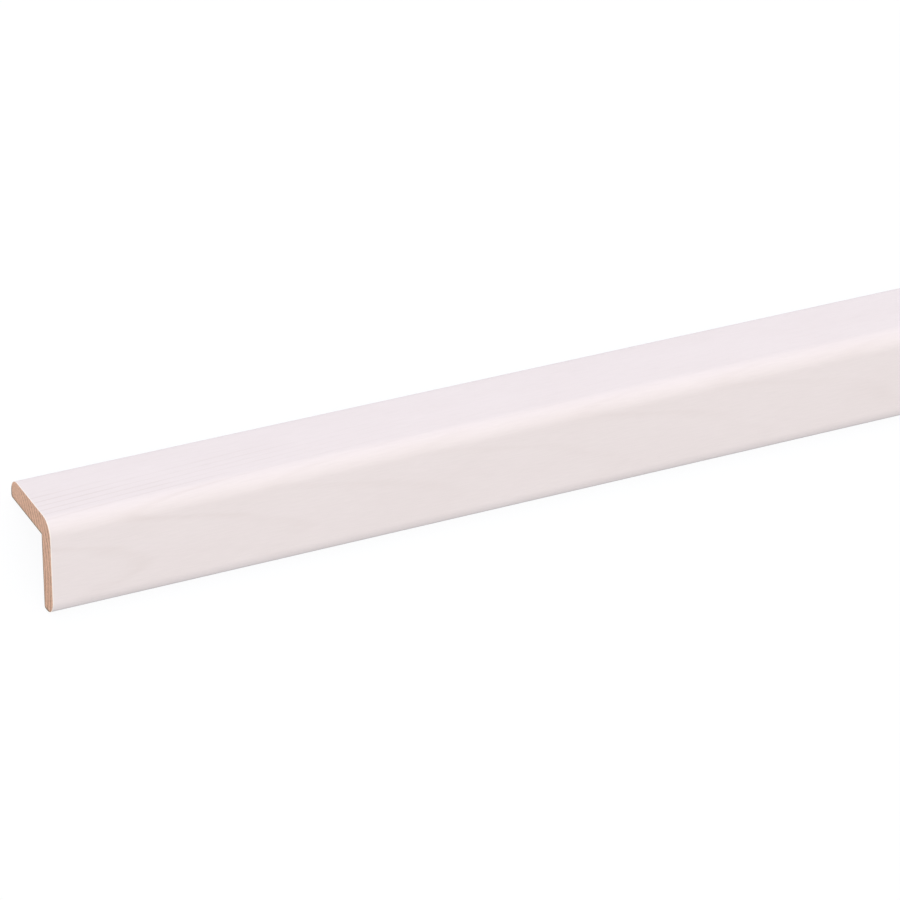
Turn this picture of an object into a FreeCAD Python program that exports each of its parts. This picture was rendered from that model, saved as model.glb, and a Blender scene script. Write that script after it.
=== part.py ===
import FreeCAD, Part
import math
import os
import Sketcher

# Corner guard moulding, millimetres.
# One length of softwood is milled to an L with two equal legs. The outer corner is rounded,
# each leg ends in a rounded tip, the inner corner that takes the wall is square, and both ends
# are sawn square. It lies as it comes to rest: along X, outer corner up, on its two leg tips.

document = FreeCAD.newDocument("corner_guard")


# Driving dimensions, then the ones that follow from them

driving = [
    ("stock_length", 2400.0, "length that the stock is sold in"),
    ("leg_width", 27.0, "outer corner to the end of either leg"),
    ("thickness", 6.0, "wall of either leg"),
    ("nose_radius", 4.5, "rounding of the outer corner"),
    ("tip_ease", 0.7, "eased edge of each tip on its inner side"),
    ("tip_land", 0.8, "flat left across each tip between the ease and the outer rounding"),
]
derived = [
    ("tip_radius", "=thickness - tip_ease - tip_land", "rounding of each tip on its outer side"),
    ("corner_height", "=(leg_width + thickness) / sqrt(2) - (sqrt(2) - 1) * tip_ease",
     "sharp outer corner above the floor, with both eased tips touching down"),
]


def fill_sheet(rows, first_row):
    for row, (alias, content, note) in enumerate(rows, start=first_row):
        sheet.set(f"A{row}", note)
        sheet.set(f"B{row}", str(content))
        sheet.setAlias(f"B{row}", alias)


sheet = document.addObject("Spreadsheet::Sheet", "Dimensions")
fill_sheet(driving, 1)
fill_sheet(derived, 1 + len(driving))
document.recompute()


# The section, in the sketch's own plane: the sharp outer corner is at the origin,
# the top leg runs along +u and the front leg hangs down along -v

def point(u, v):
    return FreeCAD.Vector(u, v, 0)


def line(sketch, start, end):
    return sketch.addGeometry(Part.LineSegment(start, end))


def quarter(sketch, centre, radius, turns_before):
    """Add a quarter of a circle, counter-clockwise, starting after this many quarter turns."""
    start = turns_before * math.pi / 2
    circle = Part.Circle(centre, FreeCAD.Vector(0, 0, 1), radius)
    return sketch.addGeometry(Part.ArcOfCircle(circle, start, start + math.pi / 2))


def draw_section(sketch):
    leg = sheet.get("leg_width")
    wall = sheet.get("thickness")
    nose = sheet.get("nose_radius")
    tip = sheet.get("tip_radius")
    ease = sheet.get("tip_ease")

    # The closed outline, counter-clockwise from the nose
    nose_arc = quarter(sketch, point(nose, -nose), nose, 1)
    front_face = line(sketch, point(0, -nose), point(0, tip - leg))
    front_tip = quarter(sketch, point(tip, tip - leg), tip, 2)
    front_end = line(sketch, point(tip, -leg), point(wall - ease, -leg))
    front_ease = quarter(sketch, point(wall - ease, ease - leg), ease, 3)
    front_inside = line(sketch, point(wall, ease - leg), point(wall, -wall))
    top_inside = line(sketch, point(wall, -wall), point(leg - ease, -wall))
    top_ease = quarter(sketch, point(leg - ease, ease - wall), ease, 3)
    top_end = line(sketch, point(leg, ease - wall), point(leg, -tip))
    top_tip = quarter(sketch, point(leg - tip, -tip), tip, 0)
    top_face = line(sketch, point(leg - tip, 0), point(nose, 0))
    outline = [nose_arc, front_face, front_tip, front_end, front_ease, front_inside,
               top_inside, top_ease, top_end, top_tip, top_face]

    # Every joint of the outline is smooth but the square inner corner
    start, end = 1, 2
    for before, after in zip(outline, outline[1:] + outline[:1]):
        joint = "Coincident" if after == top_inside else "Tangent"
        sketch.addConstraint(Sketcher.Constraint(joint, before, end, after, start))
    for upright in (front_face, front_inside, top_end):
        sketch.addConstraint(Sketcher.Constraint("Vertical", upright))
    for level in (top_face, top_inside, front_end):
        sketch.addConstraint(Sketcher.Constraint("Horizontal", level))

    # The outer faces lie on the sketch's axes, and both legs are alike
    u_axis, v_axis = -1, -2
    sketch.addConstraint(Sketcher.Constraint("PointOnObject", top_face, end, u_axis))
    sketch.addConstraint(Sketcher.Constraint("PointOnObject", front_face, start, v_axis))
    sketch.addConstraint(Sketcher.Constraint("Equal", front_tip, top_tip))
    sketch.addConstraint(Sketcher.Constraint("Equal", front_ease, top_ease))

    corner = (-1, 1)
    sized = [
        ("nose", "nose_radius", Sketcher.Constraint("Radius", nose_arc, nose)),
        ("tip", "tip_radius", Sketcher.Constraint("Radius", front_tip, tip)),
        ("ease", "tip_ease", Sketcher.Constraint("Radius", front_ease, ease)),
        ("top_leg", "leg_width", Sketcher.Constraint("DistanceX", *corner, top_end, start, leg)),
        ("front_leg", "leg_width", Sketcher.Constraint("DistanceY", front_end, end, *corner, leg)),
        ("front_wall", "thickness", Sketcher.Constraint("DistanceX", *corner, front_inside, end, wall)),
        ("top_wall", "thickness", Sketcher.Constraint("DistanceY", top_inside, start, *corner, wall)),
    ]
    for name, alias, constraint in sized:
        sketch.renameConstraint(sketch.addConstraint(constraint), name)
        sketch.setExpression(f"Constraints.{name}", f"{sheet.Name}.{alias}")


# The moulding: its section run along the whole length, then laid on its two tips

def origin_plane(body, role):
    return next(plane for plane in body.Origin.OriginFeatures if plane.Role == role)


def make_moulding():
    body = document.addObject("PartDesign::Body", "corner_moulding")
    body.Label = "corner_moulding"
    section = body.newObject("Sketcher::SketchObject", "section")
    section.AttachmentSupport = [(origin_plane(body, "YZ_Plane"), "")]
    section.MapMode = "FlatFace"
    draw_section(section)
    stock = body.newObject("PartDesign::Pad", "stock")
    stock.Profile = section
    stock.SideType = "Symmetric"
    stock.setExpression("Length", f"{sheet.Name}.stock_length")
    body.Tip = stock
    equal_lean = -45
    laid_down = FreeCAD.Rotation(FreeCAD.Vector(1, 0, 0), equal_lean)
    body.Placement = FreeCAD.Placement(FreeCAD.Vector(0, 0, 0), laid_down)
    body.setExpression("Placement.Base.z", f"{sheet.Name}.corner_height")
    return body


moulding = make_moulding()
document.recompute()


# Everything is sound before the solid is written

for item in document.Objects:
    if "Invalid" in item.State or "Error" in item.State:
        raise RuntimeError(f"{item.Name} did not build: {item.State}")
if not moulding.getObject("section").FullyConstrained:
    raise RuntimeError("the section is not fully constrained")
if moulding.Shape.isNull() or not moulding.Shape.isValid() or len(moulding.Shape.Solids) != 1:
    raise RuntimeError("the moulding is not one sound solid")

os.makedirs("parts", exist_ok=True)
moulding.Shape.exportStep(f"parts/{moulding.Label}.step")
box = moulding.Shape.BoundBox
print(f"{moulding.Label}: {box.XLength:.2f} x {box.YLength:.2f} x {box.ZLength:.2f} mm,",
      f"lowest point {box.ZMin:.4f}, volume {moulding.Shape.Volume:.0f} mm3")
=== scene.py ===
import math

import bpy
from mathutils import Matrix, Vector


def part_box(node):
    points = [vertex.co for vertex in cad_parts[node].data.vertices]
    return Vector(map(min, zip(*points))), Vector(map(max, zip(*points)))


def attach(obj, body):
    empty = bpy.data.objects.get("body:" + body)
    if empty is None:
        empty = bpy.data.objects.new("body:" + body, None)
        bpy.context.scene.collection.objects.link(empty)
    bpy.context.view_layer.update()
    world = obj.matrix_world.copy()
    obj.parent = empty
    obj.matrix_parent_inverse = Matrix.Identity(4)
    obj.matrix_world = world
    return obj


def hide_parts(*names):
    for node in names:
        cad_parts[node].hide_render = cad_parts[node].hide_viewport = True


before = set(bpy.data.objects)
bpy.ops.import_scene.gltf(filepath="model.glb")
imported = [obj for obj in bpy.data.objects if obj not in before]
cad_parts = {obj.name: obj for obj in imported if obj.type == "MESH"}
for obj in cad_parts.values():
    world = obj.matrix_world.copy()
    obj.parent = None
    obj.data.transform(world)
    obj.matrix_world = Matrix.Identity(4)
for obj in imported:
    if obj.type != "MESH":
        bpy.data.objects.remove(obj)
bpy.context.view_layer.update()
mm = 0.001


# Shared helpers

def linearColour(hexText):
    # sRGB hex, as a paint card gives it, to the linear colour that a shader wants
    values = [int(hexText[i:i + 2], 16) / 255 for i in (1, 3, 5)]
    return tuple(v / 12.92 if v <= 0.04045 else ((v + 0.055) / 1.055) ** 2.4 for v in values) + (1.0,)


def addNode(tree, kind, settings=None, inputs=None, feeds=None):
    # one node with its settings, its inputs as plain values or as other nodes' outputs,
    # and the inputs further on that its own outputs feed. A Mix node has sockets for every kind
    # of value, so they go by number: 2 and 3 are its numbers, 6 and 7 its colours, 2 the colour out
    node = tree.nodes.new(kind)
    node.location = (180 * (len(tree.nodes) % 12), -260 * (len(tree.nodes) // 12))
    for name, value in (settings or {}).items():
        setattr(node, name, value)
    for key, value in (inputs or {}).items():
        if isinstance(value, bpy.types.NodeSocket):
            tree.links.new(value, node.inputs[key])
        else:
            node.inputs[key].default_value = value
    for key, target in (feeds or {}).items():
        tree.links.new(node.outputs[key], target)
    return node


# The moulding's sizes, in metres. The radii are the cutter's, the rest is read from the frame

print("sizes")
moulding = {
    "node": "corner_moulding",
    "noseRadius": 4.5 * mm,   # outer corner
    "tipRadius": 4.5 * mm,    # outer side of each tip
    "tipEase": 0.7 * mm,      # inner side of each tip
    "arris": 0.12 * mm,       # edge that the saw leaves slightly broken
    "arrisSteps": 2,
    "arcSteps": 16,           # facets on each rounding, even, so that its middle is a point too
    "pieceLength": 60 * mm,   # length of one facet along the stock
    "weld": 0.001 * mm,       # points nearer than this are one
    "endZone": 0.01 * mm,     # what lies this near an end's plane is on it
    "smoothBelow": 15,        # degrees between facets: the roundings shade smooth, the arris doesn't
}
low, high = (Vector(corner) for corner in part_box(moulding["node"]))
cornerGain = math.sqrt(2) - 1  # how far a sharp corner stands out past its rounding, per radius
length = high.x - low.x
legWidth = math.sqrt(2) * ((high.y - low.y) / 2 + cornerGain * moulding["tipRadius"])
cornerHeight = high.z + cornerGain * moulding["noseRadius"]
wall = math.sqrt(2) * (cornerHeight - low.z + cornerGain * moulding["tipEase"]) - legWidth
print(f"  leg {legWidth / mm:.2f} mm, wall {wall / mm:.2f} mm, length {length / mm:.1f} mm")

# The section's own frame has the sharp outer corner at its origin, one leg level on top, towards +Y,
# and one hanging in front, along -Z, as the photograph shows them. Its X starts at the near end
sectionLean = math.radians(-45)
sectionFrame = Matrix.Translation((low.x, 0, cornerHeight)) @ Matrix.Rotation(sectionLean, 4, "X")


# Materials

def sectionCoordinates(tree):
    # the place of a point in the section's own frame, in metres
    here = addNode(tree, "ShaderNodeTexCoord").outputs["Object"]
    place = {"Vector": here, "Location": (low.x, 0, cornerHeight), "Rotation": (sectionLean, 0, 0)}
    return addNode(tree, "ShaderNodeMapping", {"vector_type": "TEXTURE"}, place).outputs["Vector"]


def depths(tree, apart):
    # how deep a point lies from the inner sides of both legs, and from the nearer tip
    fromFrontInside = addNode(tree, "ShaderNodeMath", {"operation": "SUBTRACT"},
                              {0: wall, 1: apart["Y"]}).outputs[0]
    fromTopInside = addNode(tree, "ShaderNodeMath", {"operation": "ADD"},
                            {0: apart["Z"], 1: wall}).outputs[0]
    fromInside = addNode(tree, "ShaderNodeMath", {"operation": "MAXIMUM"},
                         {0: fromFrontInside, 1: fromTopInside}).outputs[0]
    fromFrontTip = addNode(tree, "ShaderNodeMath", {"operation": "ADD"},
                           {0: apart["Z"], 1: legWidth}).outputs[0]
    fromRearTip = addNode(tree, "ShaderNodeMath", {"operation": "SUBTRACT"},
                          {0: legWidth, 1: apart["Y"]}).outputs[0]
    fromTip = addNode(tree, "ShaderNodeMath", {"operation": "MINIMUM"},
                      {0: fromFrontTip, 1: fromRearTip}).outputs[0]
    return fromInside, fromTip


growth = {
    "pith": (0, 37.3 * mm, -16.9 * mm),  # heart of the tree at the near end, off the moulding's inner side
    "pithTurn": (0, 0.0151, 0.0473),     # the stem's slant against the stock, in radians
    "innerRing": 1.83 * mm,              # a year's growth nearer the pith
    "outerRing": 2.1 * mm,               # and further out
    "outerFrom": 38.58 * mm,             # from the pith
    "summerFrom": 0.65,                  # share of a ring where the summer wood begins to darken
    "summerFull": 0.9,                   # where it would be darkest
    "summerEnds": 0.86,                  # and where it begins to end
    "stretch": 30,                       # how much longer the wood's waves are along the stem than across
    "waveWidth": 7 * mm,
    "wave": 0.5,                         # in rings
}


def growthRings(tree, section):
    # 0 in the pale spring wood, rising to 1 in the thin dark summer wood that ends each ring
    turned = {"Vector": section, "Location": growth["pith"], "Rotation": growth["pithTurn"],
              "Scale": (growth["stretch"], 1, 1)}
    stem = addNode(tree, "ShaderNodeMapping", {"vector_type": "TEXTURE"}, turned).outputs["Vector"]
    across = addNode(tree, "ShaderNodeVectorMath", {"operation": "MULTIPLY"},
                     {0: stem, 1: (0, 1, 1)}).outputs[0]
    radius = addNode(tree, "ShaderNodeVectorMath", {"operation": "LENGTH"}, {0: across}).outputs["Value"]
    noise = addNode(tree, "ShaderNodeTexNoise", None,
                    {"Vector": stem, "Scale": 1 / growth["waveWidth"], "Detail": 2.0}).outputs["Fac"]
    wave = addNode(tree, "ShaderNodeMapRange", None,
                   {"Value": noise, "To Min": -growth["wave"] / 2, "To Max": growth["wave"] / 2}).outputs[0]
    past = addNode(tree, "ShaderNodeMath", {"operation": "SUBTRACT"},
                   {0: radius, 1: growth["outerFrom"]}).outputs[0]
    innerYears = addNode(tree, "ShaderNodeMath", {"operation": "MULTIPLY_ADD"},
                         {0: past, 1: 1 / growth["innerRing"], 2: wave}).outputs[0]
    later = addNode(tree, "ShaderNodeMath", {"operation": "MAXIMUM"}, {0: past, 1: 0.0}).outputs[0]
    fewerYears = 1 / growth["outerRing"] - 1 / growth["innerRing"]
    years = addNode(tree, "ShaderNodeMath", {"operation": "MULTIPLY_ADD"},
                    {0: later, 1: fewerYears, 2: innerYears}).outputs[0]
    season = addNode(tree, "ShaderNodeMath", {"operation": "FRACT"}, {0: years}).outputs[0]
    darkening = addNode(tree, "ShaderNodeMapRange", {"interpolation_type": "SMOOTHSTEP"},
                        {"Value": season, "From Min": growth["summerFrom"],
                         "From Max": growth["summerFull"]}).outputs[0]
    ending = addNode(tree, "ShaderNodeMapRange", {"interpolation_type": "SMOOTHSTEP"},
                     {"Value": season, "From Min": growth["summerEnds"],
                      "To Min": 1.0, "To Max": 0.0}).outputs[0]
    return addNode(tree, "ShaderNodeMath", {"operation": "MULTIPLY"}, {0: darkening, 1: ending}).outputs[0]


coat = {
    "white": "#F3EAEB",            # pinkish white
    "overSummerWood": "#E6DBDA",
    "edgeHighlight": "#FFF7F2",         # painted highlight: a lighter band of coat along the sawn edges
    "highlightWidth": 0.35 * mm,
    "tipAndInsideShade": "#D2CCCC",    # painted shade: grey on the tips and the inner sides, which face down
    "shadeReach": (0.9 * mm, 2.1 * mm),  # from a tip's end, where the painted shade is full and where it has gone
    "frontShows": (0.14, 0.36),    # how much of the rings shows on the front leg, along it and at its ends
    "rearShows": (0.08, 0.75),     # and on the rear leg, where the coat is thicker along the stock
    "endReach": 110 * mm,          # where the coat thins towards each end
    "rearFade": (12 * mm, 18 * mm),  # from the outer corner, where the rear leg's rings fade away
    "rearLeft": 0.1,               # what is left of them past that
    "cloudWidth": 9 * mm,          # patches of thinner and thicker coat
    "cloudStretch": 3,
    "cloudCore": (0.35, 0.6),      # the part of their noise that counts, from thick to thin
    "cloudLeast": 0.35,            # share of the rings that the thickest let through
    "cloudTone": 0.35,             # how much they tint the coat by themselves
    "specular": 0.35,
    "roughness": 0.55,
    "fibreWidth": 0.35 * mm,       # real fibres are finer, this is as fine as the render shows
    "fibreStretch": 14,
    "fibreCore": (0.3, 0.7),       # the part of their noise that counts
    "fibreTone": (0.982, 1.012),   # darkest and lightest of them under the coat
    "fibreGloss": 0.06,            # how far they change the roughness either way
    "grainHeight": 0.008 * mm,
    "summerHeight": 0.6,           # how far summer wood stands out, as a share of that
}


def coatedSpruce():
    # one thin satin coat of white stain, sprayed on planed spruce: an even, slightly pink white
    # with the cathedral figure of the rings just showing, and the fibres just felt in the gloss
    material = bpy.data.materials.new("whiteStainedSpruce")
    material.use_nodes = True
    tree = material.node_tree
    shader = tree.nodes["Principled BSDF"]
    shader.inputs["Specular IOR Level"].default_value = coat["specular"]
    section = sectionCoordinates(tree)
    apart = addNode(tree, "ShaderNodeSeparateXYZ", None, {0: section}).outputs
    summer = growthRings(tree, section)

    # the figure shows where the coat is thin: in clouds, towards the ends and more on the front leg
    cloudSpace = addNode(tree, "ShaderNodeMapping", {"vector_type": "TEXTURE"},
                         {"Vector": section, "Scale": (coat["cloudStretch"], 1, 1)}).outputs["Vector"]
    clouds = addNode(tree, "ShaderNodeTexNoise", None,
                     {"Vector": cloudSpace, "Scale": 1 / coat["cloudWidth"], "Detail": 2.0}).outputs["Fac"]
    patches = addNode(tree, "ShaderNodeMapRange", None,
                      {"Value": clouds, "From Min": coat["cloudCore"][0],
                       "From Max": coat["cloudCore"][1], "To Min": coat["cloudLeast"]}).outputs[0]
    fading = addNode(tree, "ShaderNodeMapRange", {"interpolation_type": "SMOOTHSTEP"},
                     {"Value": apart["Y"], "From Min": coat["rearFade"][0], "From Max": coat["rearFade"][1],
                      "To Min": 1.0, "To Max": coat["rearLeft"]}).outputs[0]
    onRear = addNode(tree, "ShaderNodeMapRange", {"interpolation_type": "SMOOTHSTEP"},
                     {"Value": apart["Y"], "From Max": wall}).outputs[0]
    fromMiddle = addNode(tree, "ShaderNodeMath", {"operation": "SUBTRACT"},
                         {0: apart["X"], 1: length / 2}).outputs[0]
    fromMiddle = addNode(tree, "ShaderNodeMath", {"operation": "ABSOLUTE"}, {0: fromMiddle}).outputs[0]
    frontShare, rearShare = (
        addNode(tree, "ShaderNodeMapRange", {"interpolation_type": "SMOOTHSTEP"},
                {"Value": fromMiddle, "From Min": length / 2 - coat["endReach"], "From Max": length / 2,
                 "To Min": coat[leg][0], "To Max": coat[leg][1]}).outputs[0]
        for leg in ("frontShows", "rearShows"))
    showing = addNode(tree, "ShaderNodeMix", {"data_type": "FLOAT"},
                      {0: onRear, 2: frontShare, 3: rearShare}).outputs[0]
    for share in (patches, fading, showing):
        summer = addNode(tree, "ShaderNodeMath", {"operation": "MULTIPLY"},
                         {0: summer, 1: share}).outputs[0]
    figure = addNode(tree, "ShaderNodeMath", {"operation": "MULTIPLY_ADD"},
                     {0: clouds, 1: coat["cloudTone"], 2: summer}).outputs[0]
    overWood = addNode(tree, "ShaderNodeMix", {"data_type": "RGBA"},
                       {0: figure, 6: linearColour(coat["white"]),
                        7: linearColour(coat["overSummerWood"])}).outputs[2]

    # fibres run along the stock: they tint the coat a little and make its gloss uneven
    fibreSpace = addNode(tree, "ShaderNodeMapping", {"vector_type": "TEXTURE"},
                         {"Vector": section, "Scale": (coat["fibreStretch"], 1, 1)}).outputs["Vector"]
    fibres = addNode(tree, "ShaderNodeTexNoise", None,
                     {"Vector": fibreSpace, "Scale": 1 / coat["fibreWidth"], "Detail": 3.0}).outputs["Fac"]
    addNode(tree, "ShaderNodeMapRange", None,
            {"Value": fibres, "To Min": coat["roughness"] - coat["fibreGloss"],
             "To Max": coat["roughness"] + coat["fibreGloss"]}, {0: shader.inputs["Roughness"]})
    relief = addNode(tree, "ShaderNodeMath", {"operation": "MULTIPLY_ADD"},
                     {0: summer, 1: coat["summerHeight"], 2: fibres}).outputs[0]
    addNode(tree, "ShaderNodeBump", None, {"Height": relief, "Distance": coat["grainHeight"]},
            {0: shader.inputs["Normal"]})
    tone = addNode(tree, "ShaderNodeMapRange", None,
                   {"Value": fibres, "From Min": coat["fibreCore"][0], "From Max": coat["fibreCore"][1],
                    "To Min": coat["fibreTone"][0], "To Max": coat["fibreTone"][1]}).outputs[0]
    overWood = addNode(tree, "ShaderNodeVectorMath", {"operation": "SCALE"},
                       {0: overWood, "Scale": tone}).outputs[0]

    # painted shade on the tips and the inner sides, and a painted highlight along the sawn edges
    fromInside, fromTip = depths(tree, apart)
    onTip = addNode(tree, "ShaderNodeMapRange", {"interpolation_type": "SMOOTHSTEP"},
                    {"Value": fromTip, "From Min": coat["shadeReach"][0], "From Max": coat["shadeReach"][1],
                     "To Min": 1.0, "To Max": 0.0}).outputs[0]
    onInside = addNode(tree, "ShaderNodeMapRange", {"interpolation_type": "SMOOTHSTEP"},
                       {"Value": fromInside, "From Max": coat["shadeReach"][0],
                        "To Min": 1.0, "To Max": 0.0}).outputs[0]
    # painted shade: the tips and inner sides are greyed
    paintedShadeMask = addNode(tree, "ShaderNodeMath", {"operation": "MAXIMUM"}, {0: onTip, 1: onInside}).outputs[0]
    overWood = addNode(tree, "ShaderNodeMix", {"data_type": "RGBA"},
                       {0: paintedShadeMask, 6: overWood, 7: linearColour(coat["tipAndInsideShade"])}).outputs[2]
    # painted highlight: the coat is lighter along the sawn edges
    highlightBand = addNode(tree, "ShaderNodeMapRange", None,
                   {"Value": fromMiddle, "From Min": length / 2 - coat["highlightWidth"],
                    "From Max": length / 2 - coat["highlightWidth"] / 2}).outputs[0]
    addNode(tree, "ShaderNodeMix", {"data_type": "RGBA"},
            {0: highlightBand, 6: overWood, 7: linearColour(coat["edgeHighlight"])}, {2: shader.inputs["Base Color"]})
    return material


endGrain = {
    "springWood": "#F1C3A6",
    "summerWood": "#9C6D50",
    "ringsFade": (16 * mm, 22 * mm),  # from the outer corner, where the rings blur on the rear leg
    "ringsLeft": 0.4,              # what is left of them past that
    "blurWidth": 4 * mm,           # patches where the saw blurred them
    "blurCore": (0.35, 0.6),       # the part of their noise that counts, from blurred to clean
    "blurLeast": 0.5,              # share of the rings that the most blurred keep
    "edgeShade": "#786E5C",             # painted shade: a grey-brown line along the inner sides and the tips
    "edgeShadeWidth": 0.85 * mm,
    "edgeShadeShare": 0.95,             # how much of the wood it covers at the very edge
    "tipShadeScale": 0.7,                # depth from a tip counts this much, so the line is wider there
    "fibreWidth": 0.6 * mm,        # bundles of cut fibres, coarser than real so that they show
    "fibreCore": (0.3, 0.7),       # the part of their noise that counts
    "fibreTone": (0.76, 1.15),     # darkest and lightest of them
    "sawPitch": 0.8 * mm,          # marks of the saw's teeth
    "sawWaver": 1.5,               # how far they are from straight
    "sawDepth": 0.02 * mm,
    "roughness": 0.85,
}


def sawnEndGrain():
    # bare spruce cut across by a fine saw: dry and matt, pinkish brown with the rings as thin
    # darker lines, and a line of painted shade along the inner edges and the tips
    material = bpy.data.materials.new("sawnSpruceEnd")
    material.use_nodes = True
    tree = material.node_tree
    shader = tree.nodes["Principled BSDF"]
    shader.inputs["Roughness"].default_value = endGrain["roughness"]
    section = sectionCoordinates(tree)
    apart = addNode(tree, "ShaderNodeSeparateXYZ", None, {0: section}).outputs
    summer = growthRings(tree, section)
    blur = addNode(tree, "ShaderNodeTexNoise", None,
                   {"Vector": section, "Scale": 1 / endGrain["blurWidth"], "Detail": 1.0}).outputs["Fac"]
    blurred = addNode(tree, "ShaderNodeMapRange", None,
                      {"Value": blur, "From Min": endGrain["blurCore"][0],
                       "From Max": endGrain["blurCore"][1], "To Min": endGrain["blurLeast"]}).outputs[0]
    faded = addNode(tree, "ShaderNodeMapRange", {"interpolation_type": "SMOOTHSTEP"},
                    {"Value": apart["Y"], "From Min": endGrain["ringsFade"][0],
                     "From Max": endGrain["ringsFade"][1],
                     "To Min": 1.0, "To Max": endGrain["ringsLeft"]}).outputs[0]
    for share in (blurred, faded):
        summer = addNode(tree, "ShaderNodeMath", {"operation": "MULTIPLY"},
                         {0: summer, 1: share}).outputs[0]
    wood = addNode(tree, "ShaderNodeMix", {"data_type": "RGBA"},
                   {0: summer, 6: linearColour(endGrain["springWood"]),
                    7: linearColour(endGrain["summerWood"])}).outputs[2]
    fibres = addNode(tree, "ShaderNodeTexNoise", None,
                     {"Vector": section, "Scale": 1 / endGrain["fibreWidth"], "Detail": 3.0}).outputs["Fac"]
    tone = addNode(tree, "ShaderNodeMapRange", None,
                   {"Value": fibres, "From Min": endGrain["fibreCore"][0],
                    "From Max": endGrain["fibreCore"][1], "To Min": endGrain["fibreTone"][0],
                    "To Max": endGrain["fibreTone"][1]}).outputs[0]
    wood = addNode(tree, "ShaderNodeVectorMath", {"operation": "SCALE"},
                   {0: wood, "Scale": tone}).outputs[0]

    # painted shade: a grey-brown line darkens the edges along the inner sides and the tips
    fromInside, fromTip = depths(tree, apart)
    fromTip = addNode(tree, "ShaderNodeMath", {"operation": "MULTIPLY"},
                      {0: fromTip, 1: endGrain["tipShadeScale"]}).outputs[0]
    fromEdge = addNode(tree, "ShaderNodeMath", {"operation": "MINIMUM"},
                       {0: fromInside, 1: fromTip}).outputs[0]
    edgeShade = addNode(tree, "ShaderNodeMapRange", {"interpolation_type": "SMOOTHSTEP"},
                   {"Value": fromEdge, "From Max": endGrain["edgeShadeWidth"],
                    "To Min": endGrain["edgeShadeShare"], "To Max": 0.0}).outputs[0]
    addNode(tree, "ShaderNodeMix", {"data_type": "RGBA"},
            {0: edgeShade, 6: wood, 7: linearColour(endGrain["edgeShade"])}, {2: shader.inputs["Base Color"]})

    # tooth marks; Blender's bands are pi / 10 apart at scale 1
    marks = addNode(tree, "ShaderNodeTexWave", {"wave_type": "BANDS", "bands_direction": "Z"},
                    {"Vector": section, "Scale": math.pi / 10 / endGrain["sawPitch"],
                     "Distortion": endGrain["sawWaver"], "Detail": 2.0}).outputs["Fac"]
    addNode(tree, "ShaderNodeBump", None, {"Height": marks, "Distance": endGrain["sawDepth"]},
            {0: shader.inputs["Normal"]})
    return material


# The moulding: its section swept along the length by Geometry Nodes

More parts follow.
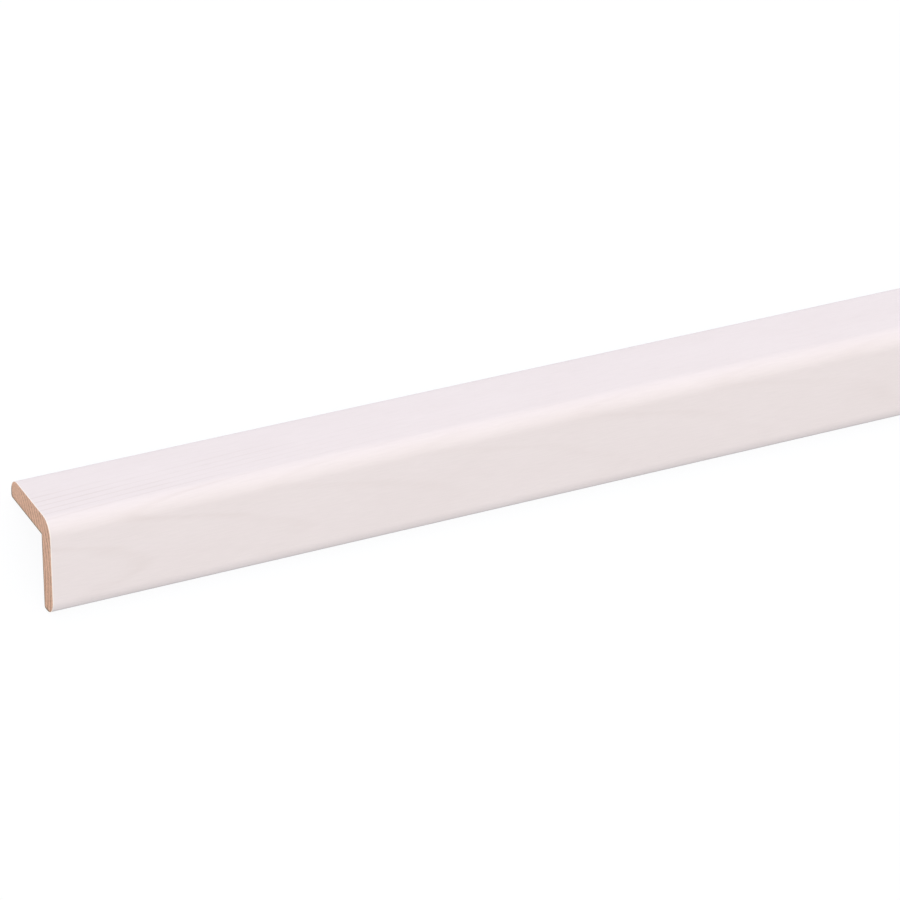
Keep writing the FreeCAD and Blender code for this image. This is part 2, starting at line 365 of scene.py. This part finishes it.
def sweepTree(coatMaterial, endMaterial):
    tree = bpy.data.node_groups.new("sectionSweep", "GeometryNodeTree")
    tree.is_modifier = True
    sizes = {"Length": length, "Leg Width": legWidth, "Wall": wall, "Nose Radius": moulding["noseRadius"],
             "Tip Radius": moulding["tipRadius"], "Tip Ease": moulding["tipEase"],
             "Corner Height": cornerHeight}
    counts = {"Arc Steps": moulding["arcSteps"], "Pieces": round(length / moulding["pieceLength"])}
    for name in sizes:
        tree.interface.new_socket(name, in_out="INPUT", socket_type="NodeSocketFloat")
    for name in counts:
        tree.interface.new_socket(name, in_out="INPUT", socket_type="NodeSocketInt")
    tree.interface.new_socket("Geometry", in_out="OUTPUT", socket_type="NodeSocketGeometry")
    given = addNode(tree, "NodeGroupInput").outputs

    # six corners round the L, from the outer one along the top leg: place and rounding of each
    leg, wallIn = given["Leg Width"], given["Wall"]
    legDown, wallDown = (
        addNode(tree, "ShaderNodeMath", {"operation": "MULTIPLY"}, {0: size, 1: -1.0}).outputs[0]
        for size in (leg, wallIn))
    nose, tip, ease = given["Nose Radius"], given["Tip Radius"], given["Tip Ease"]
    corners = {
        "back": (0.0, leg, leg, wallIn, wallIn, 0.0),
        "up": (0.0, 0.0, wallDown, wallDown, legDown, legDown),
        "rounding": (nose, tip, ease, 0.0, ease, tip),
    }
    index = addNode(tree, "GeometryNodeInputIndex").outputs[0]
    perCorner = {}
    for name, values in corners.items():
        switch = addNode(tree, "GeometryNodeIndexSwitch", {"data_type": "FLOAT"}, {"Index": index})
        while len(switch.index_switch_items) < len(values):
            switch.index_switch_items.new()
        for number, value in enumerate(values):
            if isinstance(value, float):
                switch.inputs[1 + number].default_value = value
            else:
                tree.links.new(value, switch.inputs[1 + number])
        perCorner[name] = switch.outputs[0]
    place = addNode(tree, "ShaderNodeCombineXYZ", None,
                    {"X": perCorner["back"], "Y": perCorner["up"]}).outputs[0]
    ring = addNode(tree, "GeometryNodeCurvePrimitiveCircle", None,
                   {"Resolution": len(corners["rounding"])}).outputs["Curve"]
    sharp = addNode(tree, "GeometryNodeSetPosition", None, {"Geometry": ring, "Position": place}).outputs[0]
    profile = addNode(tree, "GeometryNodeFilletCurve", {"mode": "POLY"},
                      {"Curve": sharp, "Count": given["Arc Steps"],
                       "Radius": perCorner["rounding"]}).outputs[0]

    # swept along X, both ends closed
    nearX, farX = (
        addNode(tree, "ShaderNodeMath", {"operation": "MULTIPLY"}, {0: given["Length"], 1: share}).outputs[0]
        for share in (-0.5, 0.5))
    start = addNode(tree, "ShaderNodeCombineXYZ", None, {"X": nearX}).outputs[0]
    end = addNode(tree, "ShaderNodeCombineXYZ", None, {"X": farX}).outputs[0]
    line = addNode(tree, "GeometryNodeCurvePrimitiveLine", None, {"Start": start, "End": end}).outputs[0]
    points = addNode(tree, "ShaderNodeMath", {"operation": "ADD"}, {0: given["Pieces"], 1: 1.0}).outputs[0]
    path = addNode(tree, "GeometryNodeResampleCurve", None, {"Curve": line, "Count": points}).outputs[0]
    swept = addNode(tree, "GeometryNodeCurveToMesh", None,
                    {"Curve": path, "Profile Curve": profile, "Fill Caps": True}).outputs[0]
    merged = addNode(tree, "GeometryNodeMergeByDistance", None,
                     {"Geometry": swept, "Distance": moulding["weld"]}).outputs[0]

    # laid down on its two tips; the sweep leaves the section half a turn round and its faces inwards
    outwards = addNode(tree, "GeometryNodeFlipFaces", None, {"Mesh": merged}).outputs[0]
    lift = addNode(tree, "ShaderNodeCombineXYZ", None, {"Z": given["Corner Height"]}).outputs[0]
    laid = addNode(tree, "GeometryNodeTransform", None,
                   {"Geometry": outwards, "Translation": lift,
                    "Rotation": (sectionLean + math.pi, 0, 0)}).outputs[0]

    # the saw's arris is marked on the edges round both ends
    here = addNode(tree, "GeometryNodeInputPosition").outputs[0]
    alongX = addNode(tree, "ShaderNodeSeparateXYZ", None, {0: here}).outputs["X"]
    distance = addNode(tree, "ShaderNodeMath", {"operation": "ABSOLUTE"}, {0: alongX}).outputs[0]
    inset = addNode(tree, "ShaderNodeMath", {"operation": "SUBTRACT"},
                    {0: farX, 1: moulding["endZone"]}).outputs[0]
    atEnd = addNode(tree, "FunctionNodeCompare", {"operation": "GREATER_THAN"},
                    {0: distance, 1: inset}).outputs[0]
    marked = addNode(tree, "GeometryNodeStoreNamedAttribute", {"data_type": "FLOAT", "domain": "EDGE"},
                     {"Geometry": laid, "Name": "bevel_weight_edge", "Value": atEnd}).outputs[0]

    # coat all round, bare wood on the two sawn ends
    real = addNode(tree, "GeometryNodeRealizeInstances", None, {0: marked}).outputs[0]
    coated = addNode(tree, "GeometryNodeSetMaterial", None,
                     {"Geometry": real, "Material": coatMaterial}).outputs[0]
    sawn = addNode(tree, "GeometryNodeSetMaterial", None,
                   {"Geometry": coated, "Selection": atEnd, "Material": endMaterial}).outputs[0]
    addNode(tree, "NodeGroupOutput", None, {"Geometry": sawn})
    return tree, {**sizes, **counts}


def makeMoulding():
    tree, values = sweepTree(coatedSpruce(), sawnEndGrain())
    raw = bpy.data.objects.new("mouldingSweep", bpy.data.meshes.new("mouldingSweep"))
    bpy.context.scene.collection.objects.link(raw)
    sweep = raw.modifiers.new("sweep", "NODES")
    sweep.node_group = tree
    for item in tree.interface.items_tree:
        if item.in_out == "INPUT":
            sweep[item.identifier] = values[item.name]
    arris = raw.modifiers.new("arris", "BEVEL")
    arris.limit_method = "WEIGHT"
    arris.width = moulding["arris"]
    arris.segments = moulding["arrisSteps"]
    arris.material = 0  # the coat runs over the broken edge
    evaluated = raw.evaluated_get(bpy.context.evaluated_depsgraph_get())
    mesh = bpy.data.meshes.new_from_object(evaluated)
    bpy.data.objects.remove(raw)
    mesh.shade_smooth()
    mesh.set_sharp_from_angle(angle=math.radians(moulding["smoothBelow"]))
    piece = bpy.data.objects.new("moulding", mesh)
    bpy.context.scene.collection.objects.link(piece)
    print(f"  {len(mesh.vertices)} points, {len(mesh.polygons)} faces")
    return piece


print("moulding")
piece = makeMoulding()
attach(piece, "root")
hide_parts(moulding["node"])


# Studio: a pale floor, a soft sky and one weak soft key light almost overhead

studio = {
    "skyRear": "#F7F8FF",      # behind the moulding, slightly cool
    "skyFront": "#FDFBF5",     # in front of it, slightly warm
    "rearStrength": 1.145,
    "frontStrength": 0.915,
    "keyStrength": 0.27,
    "keyColour": "#FFFCF4",
    "keyLean": 10,             # degrees from straight above, towards the rear leg
    "keySoftness": 50,         # degrees across, for a soft shadow
    "floorColour": "#B0B4BC",
    "floorSize": 12.0,
    "backdropWhite": 0.92,     # share of plain white in the floor where it is only looked at
    "backdropFloor": 0.2,      # share of the lit floor there, which keeps the shadow
}


def lookedAt(tree):
    # 1 for rays that only look at the background, straight or in a reflection, 0 for those that light
    rays = addNode(tree, "ShaderNodeLightPath").outputs
    seen = addNode(tree, "ShaderNodeMath", {"operation": "ADD"},
                   {0: rays["Is Camera Ray"], 1: rays["Is Glossy Ray"]}).outputs[0]
    return addNode(tree, "ShaderNodeMath", {"operation": "ADD", "use_clamp": True},
                   {0: seen, 1: rays["Is Transmission Ray"]}).outputs[0]


def whitePaper():
    # matt white paper, the usual studio floor: no gloss, so the moulding only leaves a soft shadow
    material = bpy.data.materials.new("mattPaper")
    material.use_nodes = True
    tree = material.node_tree
    tree.nodes.clear()
    seen = lookedAt(tree)
    paper = linearColour(studio["floorColour"])
    dimmed = tuple(studio["backdropFloor"] * part for part in paper[:3]) + (1.0,)
    colour = addNode(tree, "ShaderNodeMix", {"data_type": "RGBA"}, {0: seen, 6: paper, 7: dimmed}).outputs[2]
    matt = addNode(tree, "ShaderNodeBsdfDiffuse", None, {"Color": colour}).outputs[0]
    white = addNode(tree, "ShaderNodeMath", {"operation": "MULTIPLY"},
                    {0: seen, 1: studio["backdropWhite"]}).outputs[0]
    plain = addNode(tree, "ShaderNodeEmission", None, {"Strength": white}).outputs[0]
    both = addNode(tree, "ShaderNodeAddShader", None, {0: matt, 1: plain}).outputs[0]
    addNode(tree, "ShaderNodeOutputMaterial", None, {"Surface": both})
    return material


def makeFloor():
    mesh = bpy.data.meshes.new("floor")
    half = studio["floorSize"] / 2
    corners = [(-half, -half, 0), (half, -half, 0), (half, half, 0), (-half, half, 0)]
    mesh.from_pydata(corners, [], [(0, 1, 2, 3)])
    mesh.materials.append(whitePaper())
    floor = bpy.data.objects.new("floor", mesh)
    bpy.context.scene.collection.objects.link(floor)


def makeSky():
    world = bpy.data.worlds.new("studioSky")
    world.use_nodes = True
    bpy.context.scene.world = world
    tree = world.node_tree
    tree.nodes.clear()
    direction = addNode(tree, "ShaderNodeTexCoord").outputs["Generated"]
    toRear = addNode(tree, "ShaderNodeSeparateXYZ", None, {0: direction}).outputs["Y"]
    share = addNode(tree, "ShaderNodeMapRange", None, {"Value": toRear, "From Min": -1.0}).outputs[0]
    tint = addNode(tree, "ShaderNodeMix", {"data_type": "RGBA"},
                   {0: share, 6: linearColour(studio["skyFront"]),
                    7: linearColour(studio["skyRear"])}).outputs[2]
    strength = addNode(tree, "ShaderNodeMapRange", None,
                       {"Value": share, "To Min": studio["frontStrength"],
                        "To Max": studio["rearStrength"]}).outputs[0]
    lighting = addNode(tree, "ShaderNodeBackground", None, {"Color": tint, "Strength": strength}).outputs[0]
    white = addNode(tree, "ShaderNodeBackground", None, {"Color": (1, 1, 1, 1), "Strength": 1.0}).outputs[0]
    sky = addNode(tree, "ShaderNodeMixShader", None, {0: lookedAt(tree), 1: lighting, 2: white}).outputs[0]
    addNode(tree, "ShaderNodeOutputWorld", None, {"Surface": sky})


def makeKey():
    lamp = bpy.data.lights.new("softKey", "SUN")
    lamp.energy = studio["keyStrength"]
    lamp.color = linearColour(studio["keyColour"])[:3]
    lamp.angle = math.radians(studio["keySoftness"])
    key = bpy.data.objects.new("softKey", lamp)
    key.rotation_euler = (math.radians(-studio["keyLean"]), 0, 0)
    bpy.context.scene.collection.objects.link(key)


print("studio")
bpy.context.scene.view_settings.view_transform = "Standard"
makeFloor()
makeSky()
makeKey()


# Camera: found from the photograph's edges with the section in its own frame, and laid down with it

photoCamera = {
    "aim": (108.99 * mm, 0, -4.50 * mm),  # point of the front leg at the picture's centre
    "distance": 1061.47 * mm,
    "azimuth": 26.203,                    # degrees, towards the stock's length
    "elevation": 28.696,
    "roll": 0.6245,
    "lens": 166.34,                       # mm, as is the sensor
    "sensorWidth": 36,
    "nearest": 0.01,                      # metres, the stretch in which things are seen
    "farthest": 50,
}


def makeCamera():
    data = bpy.data.cameras.new("photoCamera")
    data.lens = photoCamera["lens"]
    data.sensor_width = photoCamera["sensorWidth"]
    data.clip_start = photoCamera["nearest"]
    data.clip_end = photoCamera["farthest"]
    camera = bpy.data.objects.new("photoCamera", data)
    turn = (Matrix.Rotation(math.radians(-photoCamera["azimuth"]), 4, "Z")
            @ Matrix.Rotation(math.radians(90 - photoCamera["elevation"]), 4, "X")
            @ Matrix.Rotation(math.radians(photoCamera["roll"]), 4, "Z"))
    back = Matrix.Translation((0, 0, photoCamera["distance"]))
    camera.matrix_world = sectionFrame @ Matrix.Translation(photoCamera["aim"]) @ turn @ back
    bpy.context.scene.collection.objects.link(camera)
    bpy.context.scene.camera = camera


print("camera")
makeCamera()
